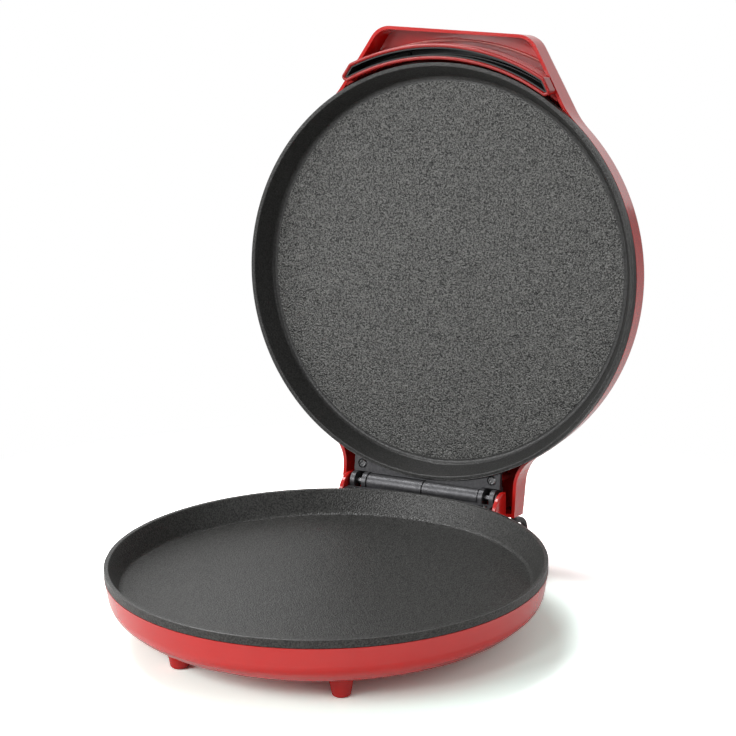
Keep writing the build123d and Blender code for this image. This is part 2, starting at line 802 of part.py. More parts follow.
def ear():
    """Thin fin beside the hinge, its edge one arc from the casing's edge over the pin."""
    centre = ear_rise - ear_radius
    foot = base_axis_depth - casing_edge_depth
    rear = rear_wall_y() - hinge_axis_y
    profile = Pos(0, -centre) * Circle(ear_radius)
    below = -foot + ear_radius
    profile -= Pos(rear + ear_radius, 0) * Rectangle(2 * ear_radius, 6 * ear_radius)
    profile -= Pos(0, below + rear_block_edge_radius) * Rectangle(6 * ear_radius, 2 * ear_radius)
    fin = extrude(Plane.YZ * profile, rear_block_half_width - ear_inner_x)
    edge = fin.edges().filter_by(GeomType.CIRCLE)
    fin = fillet(edge, ear_edge_round)
    return Pos(ear_inner_x, hinge_axis_y, base_axis_depth) * fin


def base_casing():
    """Red base shell with its rear block, hinge ears, standoffs, bosses and holes."""
    shell = base_round(0) + rear_block(0)
    shell -= base_round(casing_wall) + rear_block(casing_wall)
    wall_top = base_axis_depth + leaf_web_drop + rear_wall_leaf_gap
    inner = ear_inner_x
    shell -= block(-inner, inner, hinge_screw_y - hinge_boss_radius, rear_wall_y() + 2, 0, wall_top)
    fin = ear()
    shell += fin + mirror(fin, Plane.YZ)
    floor = base_underside_depth - casing_wall / 2
    for place in post_places:
        shell += post(standoff_radius, standoff_top_depth, floor, place)
        shell -= post(casing_screw[2] + screw_hole_gap, standoff_top_depth - 1, base_underside_depth, place)
        low = base_underside_depth - counterbore_depth
        shell -= post(casing_screw[0] + counterbore_gap, low, base_underside_depth + 1, place)
    for side in (-1, 1):
        place = (side * hinge_screw_x, hinge_screw_y)
        boss_start = base_axis_depth + leaf_top_drop + leaf_thickness
        shell += post(hinge_boss_radius, boss_start, floor, place)
        bore_end = base_axis_depth + leaf_top_drop + hinge_screw[1] + hinge_screw_length
        shell -= post(hinge_screw[2] + screw_hole_gap, boss_start - 1, bore_end, place)
    for x, y in foot_places():
        shell -= post(foot_stem_radius + screw_hole_gap, floor - 2, base_underside_depth + 1, (x, y))
    gland_depth = base_rim_height - gland_place[1]
    wall = rear_wall_y()
    shell -= bar_y(gland_neck_radius + bush_gap, wall - cut_reach, wall + 1, -gland_place[0], gland_depth)
    bush_depth = base_rim_height - base_bush_place[1]
    hole_radius = lead_radius + bush_neck + bush_gap
    return shell - bar_y(hole_radius, wall - cut_reach, wall + 1, -base_bush_place[0], bush_depth)


def foot_places():
    """Front and rear feet, in plan."""
    front = [(side * front_foot_place[0], front_foot_place[1]) for side in (-1, 1)]
    return front + [(side * rear_foot_place[0], rear_foot_place[1]) for side in (-1, 1)]


def foot(place):
    """Tapered foot with a rounded sole and a stem through the casing's floor."""
    height = casing_underside_height
    form = turned([
        (0, 0, 0),
        (foot_bottom_radius, 0, foot_round),
        (foot_top_radius, height, 0),
        (foot_stem_radius, height, 0),
        (foot_stem_radius, height + foot_stem_length, 0),
        (0, height + foot_stem_length, 0),
    ])
    return (at(place) * form).solid()


def base_casing_screws():
    """Long screws from below, through casing and reflector into the plate's bosses."""
    seat = base_underside_depth - counterbore_depth
    length = seat - reflector_depth + casing_screw_bite
    turned_screw = Rot(180, 0, 0) * screw(casing_screw, length)
    return [(at(place, seat) * turned_screw).solid() for place in post_places]


def push_rings():
    """Spring rings on the lid plate's pins, which hold the reflector."""
    ring = post(push_ring_radius, standoff_top_depth, standoff_top_depth + push_ring_thickness)
    ring -= post(locating_pin_radius + 0.05, standoff_top_depth - 1, standoff_top_depth + 2)
    return [(at(place) * ring).solid() for place in post_places]


def thermostat():
    """Round snap-disc thermostat on a flange, with two blades."""
    length, width, sheet = thermostat_flange
    flange_face = rounded_face([
        (-length / 2, -width / 2, width / 3),
        (length / 2, -width / 2, width / 3),
        (length / 2, width / 2, width / 3),
        (-length / 2, width / 2, width / 3),
    ])
    body = extrude(flange_face, sheet) + post(thermostat_radius, 0, thermostat_height)
    thick, wide, tall = thermostat_blade
    for side in (-1, 1):
        x = side * thermostat_radius * 0.5
        y0 = -thermostat_radius - tall
        body += block(x - wide / 2, x + wide / 2, y0, 0, thermostat_height - 2, thermostat_height - 2 + thick)
    for place in thermostat_screw_places():
        local = (place[0] - thermostat_place[0], place[1] - thermostat_place[1])
        body -= post(clamp_screw[2] + screw_hole_gap, -1, sheet + 1, local)
    return at(thermostat_place, plate_back_depth) * body


def thermal_fuse():
    """Axial thermal fuse with its two lead ends."""
    half = fuse_length / 2
    fuse = bar_y(fuse_radius, -half, half)
    fuse = chamfer(fuse.edges().filter_by(GeomType.CIRCLE), 0.5)
    fuse += bar_y(fuse_lead_radius, -half - fuse_lead_length, half + fuse_lead_length)
    return at(fuse_place, plate_back_depth + element_plate_gap + fuse_radius) * fuse


def fuse_clamp():
    """Strap over the thermal fuse."""
    return at(fuse_place, plate_back_depth) * clamp(fuse_radius)


def terminal_block():
    """Three-way terminal block on the casing's floor, with screw wells."""
    length, width = terminal_block_size
    floor = casing_underside_height + casing_wall
    height = base_rim_height - plate_back_depth - terminal_plate_gap - floor
    body = Pos(0, 0, floor + height / 2) * Box(length, width, height)
    body = chamfer(body.edges().filter_by(Axis.Z), 1.5)
    pitch = length / 3
    top = floor + height
    for x in (-pitch, 0, pitch):
        body -= post(terminal_well_radius, top - terminal_well_depth, top + 1, (x, 0))
        body -= bar_y(terminal_hole_radius, -width, width, x, floor + terminal_hole_height)
    return at(terminal_block_place) * body


def cord_gland():
    """Gland in the base's rear wall where the mains lead goes in, with its lock ring."""
    wall = wall_face_y(gland_place[1])
    x, z = gland_place
    seat = wall + flange_gap(gland_flange_radius, rear_block_draft)
    gland = bar_y(gland_flange_radius, seat, seat + gland_flange_thickness, x, z)
    gland = chamfer(gland.edges().sort_by(Axis.Y)[-1], 0.8)
    inside = wall - casing_wall - 0.4
    gland += bar_y(gland_neck_radius, inside - gland_lock_thickness, seat + 0.5, x, z)
    gland += bar_y(gland_lock_radius, inside - gland_lock_thickness, inside, x, z)
    return gland - bar_y(gland_bore_radius, inside - cut_reach, wall + cut_reach, x, z)


def wall_face_y(z):
    """Outer face of the base's drafted rear wall at a height."""
    drop = base_edge_height - z
    return rear_wall_y() - drop * math.tan(math.radians(rear_block_draft))


def flange_gap(radius, draft):
    """How far a flat flange stands off a drafted wall."""
    return radius * math.tan(math.radians(draft)) + seat_gap


def bush(outer_y, x, z, draft):
    """Round bush in a rear wall for the lead."""
    neck = lead_radius + bush_neck
    flange = neck + bush_flange
    seat = outer_y + flange_gap(flange, draft)
    ring = bar_y(flange, seat, seat + bush_flange_thickness, x, z)
    ring += bar_y(neck, outer_y - casing_wall - 1.5, seat + 0.5, x, z)
    return ring - bar_y(lead_radius + 0.1, outer_y - cut_reach, outer_y + cut_reach, x, z)


def base_lead_bush():
    """Bush where the lead leaves the base."""
    x, z = base_bush_place
    return bush(wall_face_y(z), x, z, rear_block_draft)


def lid_rear_wall_y():
    """Outer face of the lid's drafted rear wall at the lead."""
    return wing_end_y - math.tan(math.radians(block_draft)) * (lead_lid_depth - casing_edge_depth)


def lid_lead_bush():
    """Bush where the lead enters the lid."""
    return bush(lid_rear_wall_y(), lead_x, lead_lid_depth, block_draft)


def lid_lead():
    """The lead between base and lid: straight runs joined by tangent arcs."""
    lid_points = []
    for reach in (-lead_inner_run, lead_lid_run):
        closed = Pos(lead_x, lid_rear_wall_y() + reach, lid_rim_height + lead_lid_depth)
        lid_points.append(open_lid(closed).position)
    x, z = base_bush_place
    wall = wall_face_y(z)
    base_points = [Vector(x, wall + reach, z) for reach in (lead_base_run, -lead_inner_run)]
    points = lid_points + [Vector(*corner) for corner in lead_route] + base_points
    radii = []
    for before, here, after in zip(points, points[1:], points[2:]):
        half_turn = math.radians((here - before).get_angle(after - here)) / 2
        shorter_run = min((here - before).length, (after - here).length)
        radii.append(lead_bend_share * shorter_run / math.tan(half_turn))
    print("lead radii", [round(radius, 1) for radius in radii])
    path = FilletPolyline(*points, radius=radii)
    section = Plane(points[0], z_dir=(points[1] - points[0]).normalized())
    lead = sweep(section * Circle(lead_radius), path=path.wire())
    print("lead length", round(path.wire().length, 1), "volume", round(lead.volume, 1))
    print("section times length", round(math.pi * lead_radius ** 2 * path.wire().length, 1))
    return lead


def lamp_lens(place):
    """Small round lens through the domed top, with a flange inside."""
    roof = dome_depth(math.hypot(*place))
    inside = lens_seat_depth()
    lens = turned([
        (0, inside - lens_flange_thickness, 0),
        (lens_flange_radius, inside - lens_flange_thickness, 0),
        (lens_flange_radius, inside, 0),
        (lens_radius, inside, 0),
        (lens_radius, roof + lens_proud, 0.7),
        (0, roof + lens_proud, 0),
    ])
    return at(place) * lens


def lamp_holder():
    """Strip that carries the lamps and the lenses' flanges, on two posts."""
    length, width, sheet = lamp_holder_size
    low = lamp_holder_depth()
    holder = block(-length / 2, length / 2, lens_y - width / 2, lens_y + width / 2, low, low + sheet)
    holder = fillet(holder.edges().filter_by(Axis.Z), 1.5)
    return holder


def indicator_lamps():
    """Small lamps on the holder, one behind each lens."""
    low = lamp_holder_depth() + lamp_holder_size[2]
    lamps = []
    for place in lens_places():
        half = lamp_length / 2
        lamp = bar_y(lamp_radius, place[1] - half, place[1] + half, place[0], low + lamp_radius)
        lamps.append(chamfer(lamp.edges().filter_by(GeomType.CIRCLE), 0.8).solid())
    return lamps


def solids_of(pieces, place=None):
    """One compound of separate solids, each put in its place."""
    solids = []
    for piece in pieces:
        moved = place(piece) if place else piece
        solids += moved.solids()
    return Compound(children=solids)


def one(piece):
    """The single solid of a piece."""
    return piece.solid()


def build():
    """All nodes by name."""
    element_screws = clamp_screw_places(element_ring_radius, element_radius, clamp_angles)
    feet = foot_places()
    base_control_screws = thermostat_screw_places()
    fuse_screws = fuse_screw_places()
    base_small_screws = plate_screws(element_screws, clamp_sheet)
    base_small_screws += plate_screws(base_control_screws, thermostat_flange[2])
    base_small_screws += plate_screws(fuse_screws, clamp_sheet)
    right_lens, left_lens = lens_places()
    return {
        "base_casing": one(place_base(base_casing())),
        "front_feet": solids_of([foot(place) for place in feet[:2]]),
        "rear_feet": solids_of([foot(place) for place in feet[2:]]),
        "base_plate": one(place_base(cooking_plate(False))),
        "base_heating_element": one(place_base(heating_element())),
        "base_element_clamps": solids_of(element_clamps(), place_base),
        "base_plate_screws": solids_of(base_small_screws, place_base),
        "base_heat_reflector": one(place_base(heat_reflector(casing_screw[2] + screw_hole_gap))),
        "base_casing_screws": solids_of(base_casing_screws(), place_base),
        "thermostat": one(place_base(thermostat())),
        "thermal_fuse": one(place_base(thermal_fuse())),
        "thermal_fuse_clamp": one(place_base(fuse_clamp())),
        "terminal_block": one(terminal_block()),
        "cord_gland": one(cord_gland()),
        "base_lead_bush": one(base_lead_bush()),
        "base_hinge_bracket": one(place_base(hinge_leaf(base_axis_depth))),
        "base_hinge_screws": solids_of(hinge_leaf_screws(base_axis_depth), place_base),
        "hinge_pin": one(hinge_pin()),
        "hinge_pin_clips": solids_of(hinge_pin_clips()),
        "lid_casing": one(place_lid(lid_casing())),
        "handle_insert": one(place_lid(handle_insert())),
        "handle_screws": solids_of(handle_screws(), place_lid),
        "handle_slot_liner": one(place_lid(slot_liner())),
        "lid_plate": one(place_lid(cooking_plate(True))),
        "lid_heating_element": one(place_lid(heating_element())),
        "lid_element_clamps": solids_of(element_clamps(), place_lid),
        "lid_plate_screws": solids_of(plate_screws(element_screws, clamp_sheet), place_lid),
        "lid_heat_reflector": one(place_lid(heat_reflector(locating_pin_radius + screw_hole_gap))),
        "lid_reflector_rings": solids_of(push_rings(), place_lid),
        "lid_hinge_bracket": one(place_lid(hinge_leaf(lid_axis_depth))),
        "lid_hinge_screws": solids_of(hinge_leaf_screws(lid_axis_depth), place_lid),
        "lid_lead_bush": one(place_lid(lid_lead_bush())),
        "power_lamp_lens": one(place_lid(lamp_lens(left_lens))),
        "ready_lamp_lens": one(place_lid(lamp_lens(right_lens))),
        "lamp_holder": one(place_lid(lamp_holder())),
        "indicator_lamps": solids_of(indicator_lamps(), place_lid),
        "lid_lead": one(lid_lead()),
    }


os.makedirs("parts", exist_ok=True)
for name, shape in build().items():
    export_step(shape, "parts/" + name + ".step")
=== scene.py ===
import math

import bmesh
import bpy
import mathutils.noise
from mathutils import Matrix, Vector

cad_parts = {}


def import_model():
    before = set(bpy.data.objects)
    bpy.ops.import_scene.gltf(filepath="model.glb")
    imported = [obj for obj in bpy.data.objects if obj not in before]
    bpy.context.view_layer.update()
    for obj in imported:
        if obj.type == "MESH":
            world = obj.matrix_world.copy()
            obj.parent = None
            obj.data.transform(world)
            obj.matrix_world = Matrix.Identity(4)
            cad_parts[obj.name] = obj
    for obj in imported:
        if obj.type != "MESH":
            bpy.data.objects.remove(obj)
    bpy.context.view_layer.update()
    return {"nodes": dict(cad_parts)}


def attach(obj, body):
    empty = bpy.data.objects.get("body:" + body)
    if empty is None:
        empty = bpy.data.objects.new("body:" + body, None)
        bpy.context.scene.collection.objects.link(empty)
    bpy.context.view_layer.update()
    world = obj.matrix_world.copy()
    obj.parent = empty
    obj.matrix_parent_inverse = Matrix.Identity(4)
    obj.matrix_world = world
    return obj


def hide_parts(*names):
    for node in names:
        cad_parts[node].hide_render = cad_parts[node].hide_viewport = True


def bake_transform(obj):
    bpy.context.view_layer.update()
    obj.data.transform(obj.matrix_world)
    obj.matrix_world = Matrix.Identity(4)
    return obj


# Electric pizza maker, standing open, dressed for the photograph. Metres, the frame's own axes.

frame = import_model()
nodes = frame["nodes"]

# Camera, solved from the photograph: place, heading, tilt down, roll and focal length in pixels
camera_place = Vector((0.87554, -1.70632, 0.74810))
camera_heading = math.radians(26.22)
camera_down = math.radians(16.11)
camera_roll = math.radians(-0.84)
focal_pixels = 2875.52
image_pixels = 736
sensor_width = 36.0

# Lead between base and lid: corners of its route, and its size
lead_route = (
    (0.0632, 0.18819, 0.04093),
    (0.0632, 0.18684, 0.03203),
    (0.0644, 0.2025, 0.0292),
    (0.0648, 0.2080, 0.0195),
    (0.0638, 0.2020, 0.0096),
    (0.0608, 0.1894, 0.0070),
    (0.0577, 0.1787, 0.0133),
    (0.0560, 0.17296, 0.0264),
    (0.0560, 0.16556, 0.0264),
)
lead_diameter = 0.0046

# The open lid's frame and the pans, as the frame has them
hinge_axis = (0.1649, 0.0553)
lid_rim_height = 0.05548
lid_open_angle = math.radians(98.63)
pan_depth = 0.0173
pan_floor_radius = 0.1463
skin_gap = 0.00003
lid_grain = 0.0014
lid_grain_height = 0.00026
lid_grain_step = 0.00050
lid_grain_inset = 0.003
pebble_slope = 1.25
swell_span = 2.6
swell_slice = 7.0
swell_middle = 0.75
swell_reach = 0.5

# Bead at the foot of the handle's skirt, in the lid's own measures; its light pink colour paints
# the highlight line along that foot
skirt_bead_radius = 0.1733
skirt_bead_depth = 0.0277
skirt_bead_angle = 25.0
skirt_bead_thickness = 0.0016

# Steps and taper of a bead
bead_arc_steps = 240
bead_ring_steps = 8
bead_taper_power = 40
bead_end_share = 0.05

# Glossy bead on the edge of both pans' rims; its grey, lighter than the pans' coating, paints the
# rims' highlight line
base_rim_height = 0.05445
pan_edge_radius = 0.15668
pan_edge_depth = 0.00034
pan_edge_thickness = 0.00074

# Studio
# Near the object the floor is less red and a little dimmer, cancelling the red light the casing
# bounces onto it
floor_near_bounce_cancel_colour = (1.48, 1.97, 1.87)
floor_far_colour = (2.20, 2.20, 2.20)
floor_mirrored = (1.0, 0.25)
mirrored_span = (-0.5, 0.4)
near_fade = (0.15, 0.23)
white_fade = (0.30, 0.50)
floor_reach = 6.0
ambient_strength = 0.30
bright_side = (-0.45, 0.85, 0.25)
bright_side_edge = 0.35
dim_side_strength = 0.22
lights = (
    ("key", (-1.25, -2.0, 1.30), (0, 0.1, 0.2), (1.6, 1.1), 36.0),
    ("top", (-1.0, 0.45, 2.1), (0, 0, 0.1), (1.1, 1.1), 36.0),
    ("left", (-2.0, -1.0, 0.8), (0, 0, 0.05), (0.8, 0.9), 4.6),
    ("front", (0.15, -2.3, 1.6), (0, 0.1, 0.1), (0.5, 0.5), 7.0),
    ("fill", (2.0, -0.7, 1.2), (0, 0, 0.15), (0.9, 1.2), 6.5),
)


def new_material(name):
    """Empty node material and its shader."""
    material = bpy.data.materials.new(name)
    material.use_nodes = True
    tree = material.node_tree
    return material, tree, tree.nodes["Principled BSDF"]


def link(tree, source, target):
    tree.links.new(source, target)


def noise(tree, scale, detail=4.0, roughness=0.55):
    """Noise over object coordinates."""
    place = tree.nodes.new("ShaderNodeTexCoord")
    node = tree.nodes.new("ShaderNodeTexNoise")
    node.inputs["Scale"].default_value = scale
    node.inputs["Detail"].default_value = detail
    node.inputs["Roughness"].default_value = roughness
    link(tree, place.outputs["Object"], node.inputs["Vector"])
    return node.outputs["Fac"]


def grains(tree, scale):
    """Cell distance over object coordinates."""
    place = tree.nodes.new("ShaderNodeTexCoord")
    node = tree.nodes.new("ShaderNodeTexVoronoi")
    node.feature = "F1"
    node.inputs["Scale"].default_value = scale
    link(tree, place.outputs["Object"], node.inputs["Vector"])
    return node.outputs["Distance"]


def ramp(tree, value, stops):
    """Colour ramp from (position, colour) stops."""
    node = tree.nodes.new("ShaderNodeValToRGB")
    elements = node.color_ramp.elements
    while len(elements) < len(stops):
        elements.new(0.5)
    for element, (position, colour) in zip(elements, stops):
        element.position = position
        element.color = colour if len(colour) == 4 else (*colour, 1.0)
    link(tree, value, node.inputs["Fac"])
    return node.outputs["Color"]


def spread(tree, value, low, high):
    """Value from 0..1 to low..high."""
    node = tree.nodes.new("ShaderNodeMapRange")
    node.inputs["To Min"].default_value = low
    node.inputs["To Max"].default_value = high
    link(tree, value, node.inputs["Value"])
    return node.outputs["Result"]


def bump(tree, shader, height, strength, distance):
    """Bump from a height value."""
    node = tree.nodes.new("ShaderNodeBump")
    node.inputs["Strength"].default_value = strength
    node.inputs["Distance"].default_value = distance
    link(tree, height, node.inputs["Height"])
    link(tree, node.outputs["Normal"], shader.inputs["Normal"])


def gloss_red(name, colour, shade, rough, coat, ripple):
    """Moulded glossy plastic with faint flow marks and an uneven skin."""
    material, tree, shader = new_material(name)
    cloud = noise(tree, 14.0)
    link(tree, ramp(tree, cloud, [(0.3, shade), (0.7, colour)]), shader.inputs["Base Color"])
    polish = spread(tree, noise(tree, 60.0, 6.0), rough * 0.75, rough * 1.3)
    link(tree, polish, shader.inputs["Roughness"])
    shader.inputs["Coat Weight"].default_value = coat
    shader.inputs["Coat Roughness"].default_value = 0.06
    shader.inputs["IOR"].default_value = 1.5
    bump(tree, shader, noise(tree, 22.0, 2.0), ripple, 0.002)
    return material


def nonstick(name, colour, speck_and_glint, scale, rough, depth, strength):
    """Black non-stick coating with a grainy surface and light specks; the brighter specks paint
    in glints as well as the coating's own flecks.
    """
    material, tree, shader = new_material(name)
    cells = grains(tree, scale)
    fine = noise(tree, scale, 1.0, 0.5)
    mix = tree.nodes.new("ShaderNodeMath")
    mix.operation = "SUBTRACT"
    link(tree, fine, mix.inputs[0])
    link(tree, cells, mix.inputs[1])
    link(tree, ramp(tree, fine, [(0.36, colour), (0.64, speck_and_glint)]), shader.inputs["Base Color"])
    link(tree, spread(tree, fine, rough * 1.3, rough * 0.7), shader.inputs["Roughness"])
    bump(tree, shader, mix.outputs["Value"], strength, depth)
    return material


def metal(name, colour, dark, rough, scale, strength, metallic=1.0):
    """Metal with grain and uneven polish."""
    material, tree, shader = new_material(name)
    grain = noise(tree, scale, 8.0, 0.65)
    link(tree, ramp(tree, grain, [(0.3, dark), (0.7, colour)]), shader.inputs["Base Color"])
    polish = spread(tree, noise(tree, scale * 0.4), rough * 0.75, rough * 1.3)
    link(tree, polish, shader.inputs["Roughness"])
    shader.inputs["Metallic"].default_value = metallic
    bump(tree, shader, grain, strength, 0.0004)
    return material


def plastic(name, colour, dark, rough, scale=90.0, strength=0.15):
    """Plain moulded plastic or rubber."""
    material, tree, shader = new_material(name)
    grain = noise(tree, scale, 5.0)
    link(tree, ramp(tree, grain, [(0.3, dark), (0.7, colour)]), shader.inputs["Base Color"])
    link(tree, spread(tree, grain, rough * 0.85, rough * 1.15), shader.inputs["Roughness"])
    bump(tree, shader, grain, strength, 0.0004)
    return material


def clear_plastic(name, colour, dark):
    """Tinted lens that lets some light through."""
    material, tree, shader = new_material(name)
    grain = noise(tree, 120.0)
    link(tree, ramp(tree, grain, [(0.3, dark), (0.7, colour)]), shader.inputs["Base Color"])
    link(tree, spread(tree, grain, 0.08, 0.16), shader.inputs["Roughness"])
    shader.inputs["Transmission Weight"].default_value = 0.55
    bump(tree, shader, grain, 0.05, 0.0003)
    return material


materials = {
    "casing": gloss_red(
        "casing_red", (0.60, 0.016, 0.013), (0.54, 0.013, 0.011),
        0.14, 0.3, 0.03,
    ),
    # Same moulded red as the casing but darker: painted shade on the handle insert
    "handle": gloss_red(
        "handle_red_painted_shade", (0.38, 0.010, 0.008), (0.32, 0.008, 0.007),
        0.13, 0.12, 0.04,
    ),
    # Light pink bead at the foot of the handle's skirt: a painted highlight line
    "bead": gloss_red("skirt_bead_painted_highlight", (0.72, 0.20, 0.18), (0.64, 0.16, 0.14), 0.2, 0.3, 0.02),
    "feet": gloss_red("feet_red", (0.56, 0.015, 0.012), (0.50, 0.012, 0.010), 0.18, 0.4, 0.04),
    "base_pan": nonstick(
        "base_nonstick", (0.006, 0.006, 0.0055), (0.050, 0.050, 0.047),
        850.0, 0.36, 0.0004, 0.6,
    ),
    "lid_pan": nonstick(
        "lid_nonstick", (0.010, 0.010, 0.0095), (0.031, 0.031, 0.030),
        850.0, 0.36, 0.0003, 0.4,
    ),
    # Bright specks on near-black: partly the coating's own flecks, partly painted glints standing
    # in for light caught by the pebbles
    "lid_grain": nonstick(
        "lid_grained_nonstick", (0.001, 0.001, 0.001), (0.140, 0.141, 0.134),
        820.0, 0.32, 0.0005, 0.9,
    ),
    # Grey lighter than the pans' coating: a painted highlight along the rims' edge; the lower
    # roughness is real gloss
    "pan_edge": nonstick(
        "pan_rim_painted_highlight", (0.05, 0.05, 0.049), (0.09, 0.09, 0.088),
        700.0, 0.22, 0.0001, 0.1,
    ),
    "cast": metal(
        "dark_casting", (0.13, 0.13, 0.135), (0.07, 0.07, 0.075),
        0.42, 500.0, 0.25, 0.75,
    ),
    "pin": metal("hinge_pin_steel", (0.20, 0.20, 0.205), (0.14, 0.14, 0.145), 0.35, 260.0, 0.1),
    "hinge_screw": metal(
        "hinge_screw_steel", (0.34, 0.34, 0.345), (0.22, 0.22, 0.225),
        0.3, 300.0, 0.12,
    ),
    "screw": metal("screw_steel", (0.5, 0.5, 0.51), (0.36, 0.36, 0.37), 0.3, 300.0, 0.12),
    "black_screw": metal(
        "blackened_screw", (0.04, 0.04, 0.042), (0.025, 0.025, 0.026),
        0.4, 300.0, 0.12,
    ),
    "sheet": metal("bright_sheet", (0.66, 0.67, 0.68), (0.55, 0.56, 0.57), 0.3, 120.0, 0.1),
    "element": metal("heater_tube", (0.20, 0.19, 0.18), (0.12, 0.115, 0.11), 0.45, 200.0, 0.2),
    "black": plastic("black_moulding", (0.022, 0.022, 0.023), (0.014, 0.014, 0.015), 0.45),
    "rubber": plastic("black_lead", (0.018, 0.018, 0.019), (0.011, 0.011, 0.012), 0.42, 160.0),
    "cream": plastic("cream_moulding", (0.62, 0.58, 0.47), (0.55, 0.51, 0.41), 0.5),
    "red_lens": clear_plastic("red_lens", (0.7, 0.03, 0.02), (0.6, 0.02, 0.015)),
    "green_lens": clear_plastic("green_lens", (0.05, 0.5, 0.1), (0.04, 0.4, 0.08)),
    "lamp": clear_plastic("lamp_glass", (0.9, 0.62, 0.42), (0.8, 0.52, 0.34)),
}
finishes = {
    "casing": ("base_casing", "lid_casing"),
    "handle": ("handle_insert",),
    "feet": ("front_feet", "rear_feet"),
    "base_pan": ("base_plate",),
    "lid_pan": ("lid_plate",),
    "cast": ("base_hinge_bracket", "lid_hinge_bracket"),
    "pin": ("hinge_pin", "hinge_pin_clips"),
    "hinge_screw": ("base_hinge_screws", "lid_hinge_screws"),
    "screw": ("base_casing_screws", "base_plate_screws", "lid_plate_screws"),
    "sheet": (
        "base_heat_reflector", "lid_heat_reflector", "base_element_clamps", "lid_element_clamps",
        "lid_reflector_rings", "thermal_fuse_clamp", "thermostat",
    ),
    "element": ("base_heating_element", "lid_heating_element"),
    "black": ("cord_gland", "base_lead_bush", "lid_lead_bush", "handle_slot_liner"),
    "black_screw": ("handle_screws",),
    "rubber": ("lid_lead",),
    "cream": ("terminal_block", "thermal_fuse", "lamp_holder"),
    "red_lens": ("power_lamp_lens",),
    "green_lens": ("ready_lamp_lens",),
    "lamp": ("indicator_lamps",),
}
for finish, names in finishes.items():
    for name in names:
        nodes[name].data.materials.clear()
        nodes[name].data.materials.append(materials[finish])


def new_piece(name, mesh, material):
    """Object for a mesh, smooth and with its finish."""
    piece = bpy.data.objects.new(name, mesh)
    bpy.context.scene.collection.objects.link(piece)
    mesh.materials.append(material)
    for face in mesh.polygons:
        face.use_smooth = True
    return piece


def lead_curve(thickness):
    """One smooth spline along the lead's route, as thick as asked."""
    curve = bpy.data.curves.new("lead_route", "CURVE")
    curve.dimensions = "3D"
    curve.bevel_depth = thickness / 2
    curve.bevel_resolution = 6
    curve.resolution_u = 16
    curve.use_fill_caps = thickness > 0
    spline = curve.splines.new("NURBS")
    spline.points.add(len(lead_route) - 1)
    for point, place in zip(spline.points, lead_route):
        point.co = (*place, 1.0)
    spline.order_u = 3
    spline.use_endpoint_u = True
    return bpy.data.objects.new("lead_route", curve)


def lead():
    """The lead as one tube along its route from the base to the lid; the model's own lead is
    hidden.
    """
    line = bpy.data.meshes.new_from_object(lead_curve(0.0))
    tube = bpy.data.meshes.new_from_object(lead_curve(lead_diameter))
    piece = new_piece("lead", tube, materials["rubber"])
    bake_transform(piece)
    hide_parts("lid_lead")


def lid_point(across, along, depth):
    """Point of the closed lid's plate frame, put in the open lid's place."""
    axis_y, axis_z = hinge_axis
    y = along - axis_y
    z = lid_rim_height + depth - axis_z
    cosine, sine = math.cos(lid_open_angle), math.sin(lid_open_angle)
    return Vector((across, axis_y + y * cosine + z * sine, axis_z - y * sine + z * cosine))


def base_point(across, along, depth):
    """Point below the base pan's rim."""
    return Vector((across, along, base_rim_height - depth))


def pebble_height(x, y, size):
    """Rounded grains of cast texture, from 0 to about 1."""
    cells = mathutils.noise.voronoi(Vector((x / size, y / size, 0.0)))[0]
    swell = mathutils.noise.noise(
        Vector((x / size / swell_span, y / size / swell_span, swell_slice))
    )
    return max(0.0, 1.0 - pebble_slope * cells[0]) * (swell_middle + swell_reach * swell)


def pan_skin(name, radius, step, size, height, place, finish):
    """Grained skin that lies on a pan's floor, flat at its edge."""
    count = int(2 * radius / step)
    mesh = bmesh.new()
    rows = []
    for i in range(count + 1):
        row = []
        for j in range(count + 1):
            x = -radius + 2 * radius * i / count
            y = -radius + 2 * radius * j / count
            reach = math.hypot(x, y)
            if reach > radius:
                row.append(None)
                continue
            edge = min(1.0, (radius - reach) / (3 * size))
            lift = skin_gap + height * edge * pebble_height(x, y, size)
            row.append(mesh.verts.new(place(x, y, lift)))
        rows.append(row)
    for i in range(count):
        for j in range(count):
            corners = (rows[i][j], rows[i + 1][j], rows[i + 1][j + 1], rows[i][j + 1])
            if None not in corners:
                mesh.faces.new(corners)
    bmesh.ops.recalc_face_normals(mesh, faces=mesh.faces)
    data = bpy.data.meshes.new(name)
    mesh.to_mesh(data)
    mesh.free()
    return new_piece(name, data, materials[finish])


def lid_floor_place(x, y, lift):
    """Point over the lid pan's floor."""
    return lid_point(x, y, pan_depth - lift)


def arc_bead(name, point, radius, depth, half_angle, thickness, finish):
    """Thin round bead along an arc about the pans' middle, tapered at both ends."""
    mesh = bmesh.new()
    rings = []
    for i in range(bead_arc_steps + 1):
        share = 2 * i / bead_arc_steps - 1
        angle = math.radians(half_angle) * share
        size = thickness / 2 * max(bead_end_share, 1 - share ** bead_taper_power)
        ring = []
        for j in range(bead_ring_steps):
            turn = 2 * math.pi * j / bead_ring_steps
            reach = radius + size * math.cos(turn)
            along, sink = -reach * math.cos(angle), depth + size * math.sin(turn)
            ring.append(mesh.verts.new(point(reach * math.sin(angle), along, sink)))
        rings.append(ring)
    for first, second in zip(rings, rings[1:]):
        for j in range(bead_ring_steps):
            k = (j + 1) % bead_ring_steps
            mesh.faces.new((first[j], first[k], second[k], second[j]))
    mesh.faces.new(rings[0])
    mesh.faces.new(rings[-1])
    bmesh.ops.recalc_face_normals(mesh, faces=mesh.faces)
    data = bpy.data.meshes.new(name)
    mesh.to_mesh(data)
    mesh.free()
    return new_piece(name, data, materials[finish])


